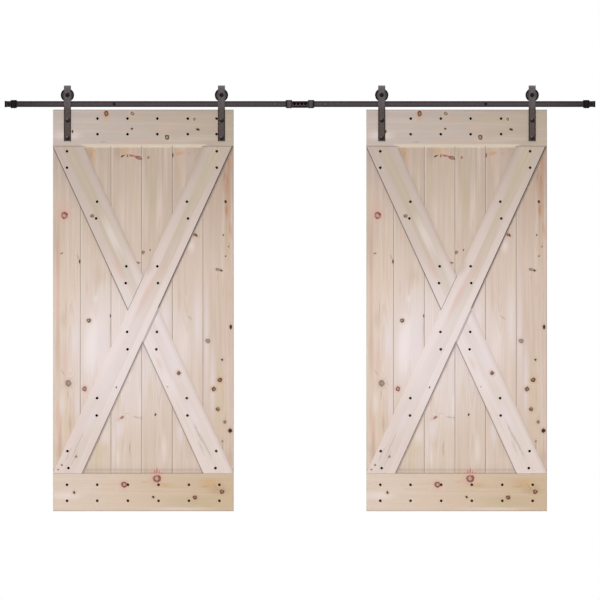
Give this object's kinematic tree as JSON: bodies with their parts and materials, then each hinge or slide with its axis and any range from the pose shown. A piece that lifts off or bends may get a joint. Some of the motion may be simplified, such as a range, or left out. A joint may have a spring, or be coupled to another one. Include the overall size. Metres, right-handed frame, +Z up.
{
  "type": "double sliding barn door",
  "caption": "Pair of braced pine plank leaves that slide on strap hangers and grooved wheels along one flat steel rail.",
  "frame": {"origin": "on the wall plane, at the rail's mid height, where the two halves of the rail meet", "axes": "+X along the rail to the right as seen from the room, +Y into the wall, +Z up; the doors' fronts face -Y"},
  "size_m": [2.9894, 0.1041, 2.1542],
  "materials": {
    "pine_planks": "knotty pine, sanded and whitewashed, satin",
    "pine_boards": "knotty pine, sanded and whitewashed, satin",
    "bronze_steel": "dark bronze powder coat, fine speckle",
    "black_fasteners": "black oxide, satin",
    "wheel_nylon": "black moulded nylon",
    "bearing_steel": "ground steel rings with dark shields",
    "stop_rubber": "black rubber",
    "cap_plastic": "black moulded plastic"
  },
  "bodies": {
    "rail": {"rail_left": "bronze_steel", "rail_right": "bronze_steel", "rail_end_caps": "cap_plastic", "rail_joiner": "bronze_steel", "joiner_bolts": "black_fasteners", "joiner_nuts": "black_fasteners", "wall_spacers": "bronze_steel", "lag_bolts": "black_fasteners", "lag_washers": "black_fasteners", "stop_pads": "stop_rubber", "stop_set_screws": "black_fasteners", "end_stop_left": "bronze_steel", "centre_stop_left": "bronze_steel", "end_stop_right": "bronze_steel", "centre_stop_right": "bronze_steel"},
    "left_outer_wheel": {"left_wheel_outer": "wheel_nylon", "left_bearing_outer": "bearing_steel"},
    "left_inner_wheel": {"left_wheel_inner": "wheel_nylon", "left_bearing_inner": "bearing_steel"},
    "left_door": {"left_plank_1": "pine_planks", "left_plank_2": "pine_planks", "left_plank_3": "pine_planks", "left_plank_4": "pine_planks", "left_plank_5": "pine_planks", "left_plank_6": "pine_planks", "left_top_rail": "pine_boards", "left_bottom_rail": "pine_boards", "left_brace_full": "pine_boards", "left_brace_upper": "pine_boards", "left_brace_lower": "pine_boards", "left_strap_outer": "bronze_steel", "left_strap_inner": "bronze_steel", "left_axle_bolts": "black_fasteners", "left_axle_nuts": "black_fasteners", "left_axle_bushes": "black_fasteners", "left_strap_bolts": "black_fasteners", "left_strap_nuts": "black_fasteners"},
    "right_outer_wheel": {"right_wheel_outer": "wheel_nylon", "right_bearing_outer": "bearing_steel"},
    "right_inner_wheel": {"right_wheel_inner": "wheel_nylon", "right_bearing_inner": "bearing_steel"},
    "right_door": {"right_plank_1": "pine_planks", "right_plank_2": "pine_planks", "right_plank_3": "pine_planks", "right_plank_4": "pine_planks", "right_plank_5": "pine_planks", "right_plank_6": "pine_planks", "right_top_rail": "pine_boards", "right_bottom_rail": "pine_boards", "right_brace_full": "pine_boards", "right_brace_upper": "pine_boards", "right_brace_lower": "pine_boards", "right_strap_outer": "bronze_steel", "right_strap_inner": "bronze_steel", "right_axle_bolts": "black_fasteners", "right_axle_nuts": "black_fasteners", "right_axle_bushes": "black_fasteners", "right_strap_bolts": "black_fasteners", "right_strap_nuts": "black_fasteners"}
  },
  "joints": [
    {"name": "left_door_slide", "type": "slide", "parent": "rail", "child": "left_door", "axis": [1, 0, 0], "range_m": [-0.232, 0.3016]},
    {"name": "left_outer_wheel_turn", "type": "hinge", "parent": "left_door", "child": "left_outer_wheel", "pos_m": [-1.17684, -0.035, 0.0453], "axis": [0, 1, 0], "continuous": true},
    {"name": "left_inner_wheel_turn", "type": "hinge", "parent": "left_door", "child": "left_inner_wheel", "pos_m": [-0.39744, -0.035, 0.0453], "axis": [0, 1, 0], "continuous": true},
    {"name": "right_door_slide", "type": "slide", "parent": "rail", "child": "right_door", "axis": [1, 0, 0], "range_m": [-0.3176, 0.234]},
    {"name": "right_outer_wheel_turn", "type": "hinge", "parent": "right_door", "child": "right_outer_wheel", "pos_m": [1.17484, -0.035, 0.0453], "axis": [0, 1, 0], "continuous": true},
    {"name": "right_inner_wheel_turn", "type": "hinge", "parent": "right_door", "child": "right_inner_wheel", "pos_m": [0.41344, -0.035, 0.0453], "axis": [0, 1, 0], "continuous": true}
  ],
  "couplings": [
    {"joint": "left_outer_wheel_turn", "follows": "left_door_slide", "rad_per_m": 33.333},
    {"joint": "left_inner_wheel_turn", "follows": "left_door_slide", "rad_per_m": 33.333},
    {"joint": "right_outer_wheel_turn", "follows": "right_door_slide", "rad_per_m": 33.333},
    {"joint": "right_inner_wheel_turn", "follows": "right_door_slide", "rad_per_m": 33.333}
  ]
}
